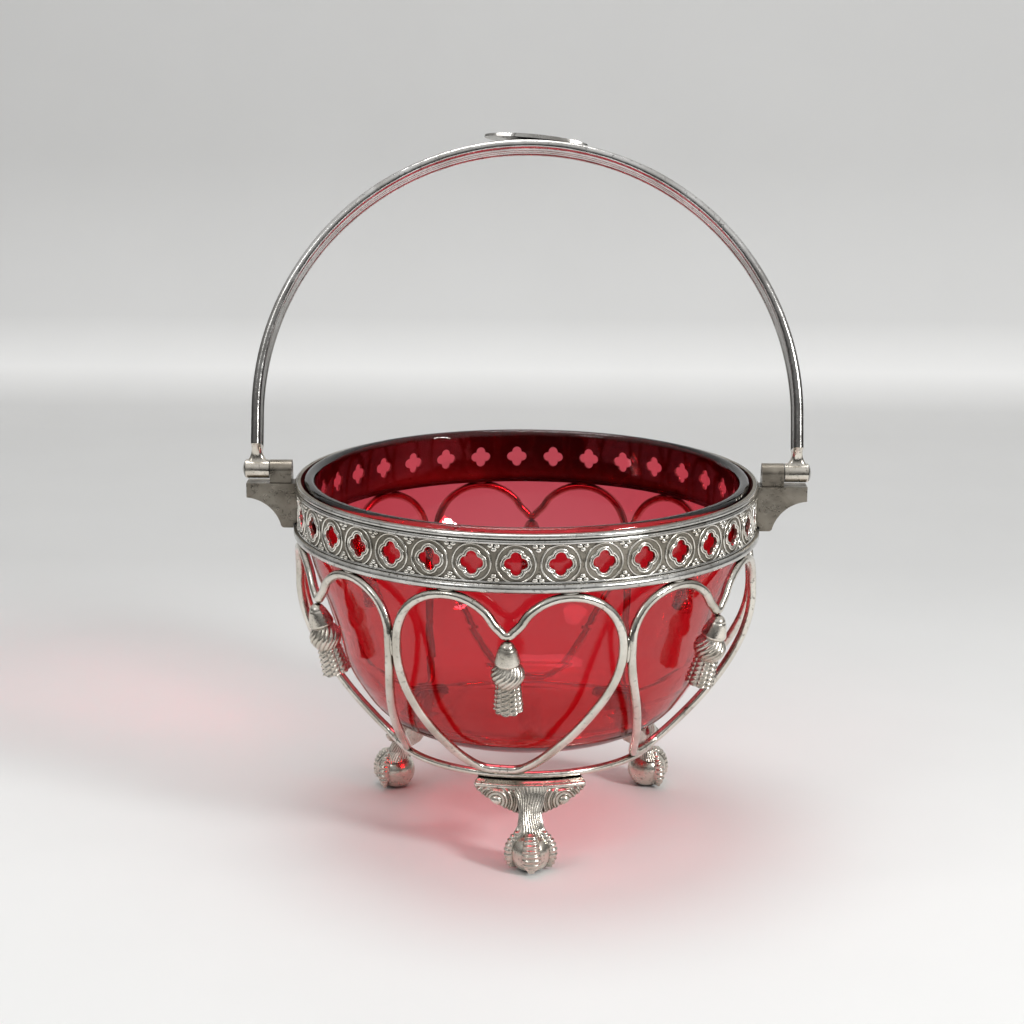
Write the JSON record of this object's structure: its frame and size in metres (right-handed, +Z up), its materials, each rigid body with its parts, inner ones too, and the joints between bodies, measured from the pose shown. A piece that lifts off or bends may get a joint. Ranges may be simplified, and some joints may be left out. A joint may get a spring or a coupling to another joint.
{
  "type": "swing-handled candy basket",
  "caption": "Silver-plated candy basket with a pierced gallery, a cage of wire hearts with tassels, claw and ball feet, a swing handle and a lift-out red glass liner.",
  "frame": {"origin": "on the basket's axis at floor level, under the middle of the bowl", "axes": "+Z up, +X to the right hinge along the hinge axis, +Y to the back, so the pictured front faces -Y"},
  "size_m": [0.1482, 0.1235, 0.1799],
  "materials": {
    "silver_plate": "polished silver plate, slightly worn",
    "silver_wire": "polished silver-plated wire",
    "cast_silver": "cast silver plate with dark patina in the recesses",
    "patinated_silver": "matte stippled silver plate, dark in the ground of the relief",
    "ruby_glass": "clear ruby red blown glass with a polished lip"
  },
  "bodies": {
    "basket": {"gallery_band": "patinated_silver", "rim_moulding": "silver_plate", "lower_bead": "silver_plate", "base_ring": "silver_wire", "heart_wire_1": "silver_wire", "tassel_1": "cast_silver", "heart_wire_2": "silver_wire", "tassel_2": "cast_silver", "heart_wire_3": "silver_wire", "tassel_3": "cast_silver", "heart_wire_4": "silver_wire", "tassel_4": "cast_silver", "heart_wire_5": "silver_wire", "tassel_5": "cast_silver", "heart_wire_6": "silver_wire", "tassel_6": "cast_silver", "foot_1": "cast_silver", "foot_2": "cast_silver", "foot_3": "cast_silver", "hinge_bracket_left": "cast_silver", "hinge_pin_left": "silver_plate", "hinge_bracket_right": "cast_silver", "hinge_pin_right": "silver_plate"},
    "handle": {"handle_bow": "silver_plate", "handle_plate": "silver_plate", "handle_knuckle_left": "cast_silver", "handle_knuckle_right": "cast_silver"},
    "liner": {"glass_liner": "ruby_glass"}
  },
  "joints": [
    {"name": "handle_swing", "type": "hinge", "parent": "basket", "child": "handle", "pos_m": [0, 0, 0.09445], "axis": [1, 0, 0], "range_deg": [-84, 120]},
    {"name": "liner_lift", "type": "slide", "parent": "basket", "child": "liner", "axis": [0, 0, 1], "range_m": [0, 0.04]}
  ]
}
